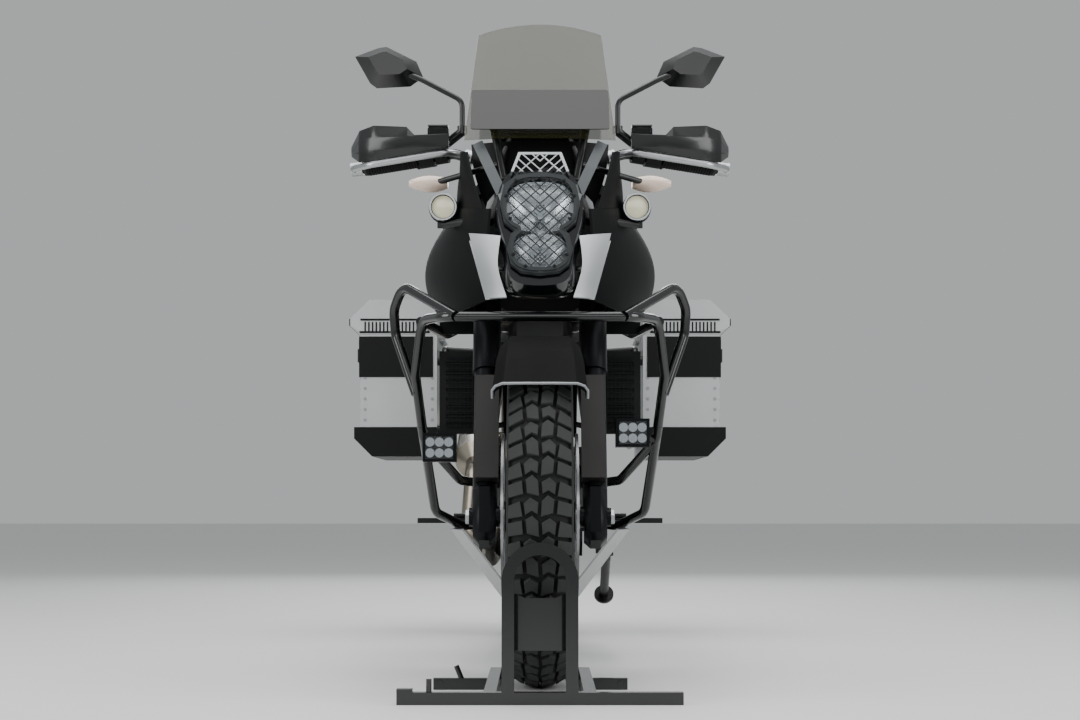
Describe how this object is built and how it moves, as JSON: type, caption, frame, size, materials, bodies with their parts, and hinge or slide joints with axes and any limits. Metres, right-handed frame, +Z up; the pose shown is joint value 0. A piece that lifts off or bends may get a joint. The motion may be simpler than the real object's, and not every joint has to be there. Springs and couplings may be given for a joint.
{
  "type": "adventure motorcycle",
  "caption": "Adventure motorcycle with wire-spoked wheels, crash bars, a clear screen, lamp guard and aluminium side boxes, its front wheel held in a floor chock.",
  "frame": {"origin": "on the floor, under the middle of the whole thing's bounding box", "axes": "+X to the rider's left, -Y the way the motorcycle faces, +Z up"},
  "size_m": [0.972, 2.2946, 1.348],
  "materials": {
    "tyre": "matte",
    "rim_black": "satin",
    "disc_steel": "brushed",
    "fork_black": "anodised black",
    "satin_black": "satin",
    "guard_black": "matte",
    "fender_black": "matte",
    "bar_black": "matte",
    "matte_black": "matte",
    "alloy": "brushed",
    "coated_black": "gloss powder coat",
    "frame_black": "satin",
    "engine_black": "coated casting",
    "exhaust_steel": "satin",
    "radiator_black": "matte",
    "chain_steel": "oiled",
    "spring_black": "satin",
    "paint_black": "gloss",
    "seat_vinyl": "grained vinyl",
    "red_lens": "gloss",
    "lamp_glass": "clear",
    "guard_steel": "satin",
    "strip_silver": "satin silver",
    "screen_smoke": "tinted clear",
    "plate_dark": "gloss",
    "lamp_black": "satin",
    "indicator_clear": "clear over amber",
    "pannier_alloy": "plain sheet"
  },
  "bodies": {
    "frame": {"main_frame": "frame_black", "engine": "engine_black", "subframe": "frame_black", "exhaust": "exhaust_steel", "radiators": "radiator_black", "skid_plate": "alloy", "crash_bars": "coated_black", "swingarm": "frame_black", "drive_chain": "chain_steel", "rear_shock": "spring_black", "luggage_rack": "coated_black", "fuel_tank": "paint_black", "seats": "seat_vinyl", "tail_unit": "matte_black", "tail_lamp": "red_lens", "rear_hugger": "fender_black", "rear_caliper": "satin_black", "headlight": "lamp_glass", "headlight_guard": "guard_steel", "nose_cowl": "paint_black", "nose_strips": "strip_silver", "windscreen": "screen_smoke", "front_plate": "plate_dark", "dash": "matte_black", "auxiliary_lamps": "lamp_black", "indicators": "indicator_clear", "fairing_stay": "frame_black", "side_shrouds": "paint_black", "footrests": "frame_black", "panniers": "pannier_alloy", "pannier_trims": "matte_black"},
    "steering": {"fork_legs": "fork_black", "triple_clamps": "satin_black", "fork_guards": "guard_black", "front_fender": "fender_black", "front_calipers": "satin_black", "handlebar": "bar_black", "hand_controls": "matte_black", "handguard_bars": "alloy", "handguards": "guard_black", "mirrors": "matte_black", "wheel_chock": "coated_black"},
    "front_wheel": {"front_tyre": "tyre", "front_rim": "rim_black", "front_discs": "disc_steel"},
    "rear_wheel": {"rear_tyre": "tyre", "rear_rim": "rim_black", "rear_rotors": "disc_steel"},
    "side_stand": {"side_stand": "frame_black"},
    "lid_left": {"lid_left": "pannier_alloy"},
    "lid_right": {"lid_right": "pannier_alloy"}
  },
  "joints": [
    {"name": "steering_head", "type": "hinge", "parent": "frame", "child": "steering", "pos_m": [0, -0.55081, 0.75844], "axis": [0, 0.4384, 0.8988], "range_deg": [-38, 38]},
    {"name": "front_axle", "type": "hinge", "parent": "steering", "child": "front_wheel", "pos_m": [0, -0.80271, 0.325], "axis": [1, 0, 0], "continuous": true},
    {"name": "rear_axle", "type": "hinge", "parent": "frame", "child": "rear_wheel", "pos_m": [0, 0.75729, 0.318], "axis": [1, 0, 0], "continuous": true},
    {"name": "side_stand_pivot", "type": "hinge", "parent": "frame", "child": "side_stand", "pos_m": [0.158, 0.06929, 0.241], "axis": [-0.9612, -0.1337, -0.2413], "range_deg": [0, 69.7]},
    {"name": "lid_left_hinge", "type": "hinge", "parent": "frame", "child": "lid_left", "pos_m": [0.2577, 0.66629, 0.785], "axis": [0, -1, 0], "range_deg": [0, 85]},
    {"name": "lid_right_hinge", "type": "hinge", "parent": "frame", "child": "lid_right", "pos_m": [-0.2577, 0.66629, 0.785], "axis": [0, 1, 0], "range_deg": [0, 85]}
  ]
}
